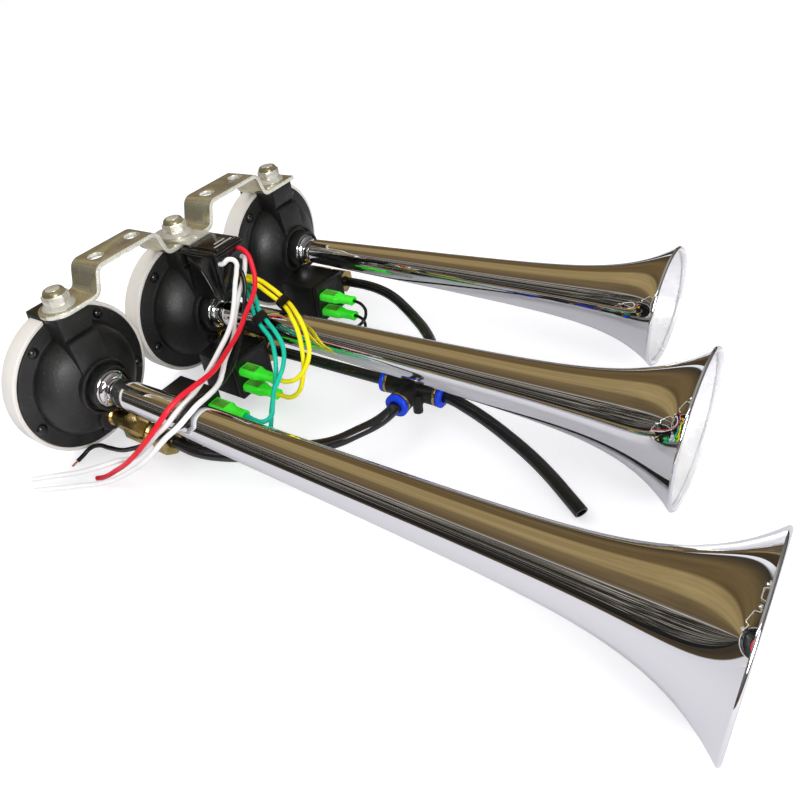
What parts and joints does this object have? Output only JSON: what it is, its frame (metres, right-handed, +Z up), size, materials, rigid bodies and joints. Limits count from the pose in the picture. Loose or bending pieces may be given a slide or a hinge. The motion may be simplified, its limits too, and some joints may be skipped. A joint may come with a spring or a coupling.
{
  "type": "car air horn",
  "caption": "Electric air horn: chromed trumpets on diaphragm housings under one folded bracket, with valve boxes, push-in air tubes and a relay.",
  "frame": {"origin": "on the standing surface under the covers, at the middle of the length and of the row, measured without the free cords", "axes": "+X from the diaphragm covers to the bell mouths, +Z up towards the bracket"},
  "size_m": [0.3432, 0.2766, 0.1064],
  "materials": {
    "chromed_trumpet": "polished",
    "chromed_ring": "polished",
    "black_housing": "fine texture",
    "black_rivet": "smooth",
    "white_cover": "satin",
    "spring_steel": "rolled",
    "gasket_rubber": "matte",
    "black_box": "satin",
    "brass_stem": "turned",
    "brass_nut": "turned",
    "brass_terminal": "rolled",
    "green_sleeve": "soft translucent",
    "zinc_stud": "zinc plated",
    "plated_bracket": "yellow zinc plated",
    "plated_nut": "zinc plated",
    "plated_strap": "zinc plated",
    "relay_case": "glossy",
    "black_fitting": "satin",
    "brass_ring": "turned",
    "blue_collar": "glossy",
    "black_tube": "glossy",
    "yellow_insulation": "satin",
    "teal_insulation": "satin",
    "thin_black_insulation": "satin",
    "black_tape": "satin",
    "red_insulation": "satin",
    "black_insulation": "satin",
    "white_insulation": "satin"
  },
  "bodies": {
    "root": {"trumpet_long": "chromed_trumpet", "trumpet_middle": "chromed_trumpet", "trumpet_short": "chromed_trumpet", "bell_long": "chromed_trumpet", "bell_middle": "chromed_trumpet", "bell_short": "chromed_trumpet", "neck_ring_long": "chromed_ring", "neck_ring_middle": "chromed_ring", "neck_ring_short": "chromed_ring", "housing_long": "black_housing", "housing_middle": "black_housing", "housing_short": "black_housing", "cover_long": "white_cover", "cover_middle": "white_cover", "cover_short": "white_cover", "diaphragm_long": "spring_steel", "diaphragm_middle": "spring_steel", "diaphragm_short": "spring_steel", "gasket_long": "gasket_rubber", "gasket_middle": "gasket_rubber", "gasket_short": "gasket_rubber", "valve_box_long": "black_box", "valve_box_middle": "black_box", "valve_box_short": "black_box", "valve_stem_long": "brass_stem", "valve_stem_middle": "brass_stem", "valve_stem_short": "brass_stem", "inlet_nut_long": "brass_nut", "inlet_nut_middle": "brass_nut", "inlet_nut_short": "brass_nut", "sleeves_long": "green_sleeve", "sleeves_middle": "green_sleeve", "sleeves_short": "green_sleeve", "valve_terminals": "brass_terminal", "cover_rivets": "black_rivet", "lug_studs": "zinc_stud", "bracket": "plated_bracket", "bracket_nuts": "plated_nut", "relay_strap": "plated_strap", "relay_box": "relay_case", "cross_fitting": "black_fitting", "fitting_rings": "brass_ring", "release_collars": "blue_collar", "tube_long": "black_tube", "tube_middle": "black_tube", "tube_short": "black_tube", "supply_tube": "black_tube", "yellow_wires": "yellow_insulation", "teal_wires": "teal_insulation", "link_wires": "thin_black_insulation", "wire_wraps": "black_tape", "red_wire": "red_insulation", "black_wire": "black_insulation", "white_wire_upper": "white_insulation", "white_wire_lower": "white_insulation"}
  },
  "joints": []
}
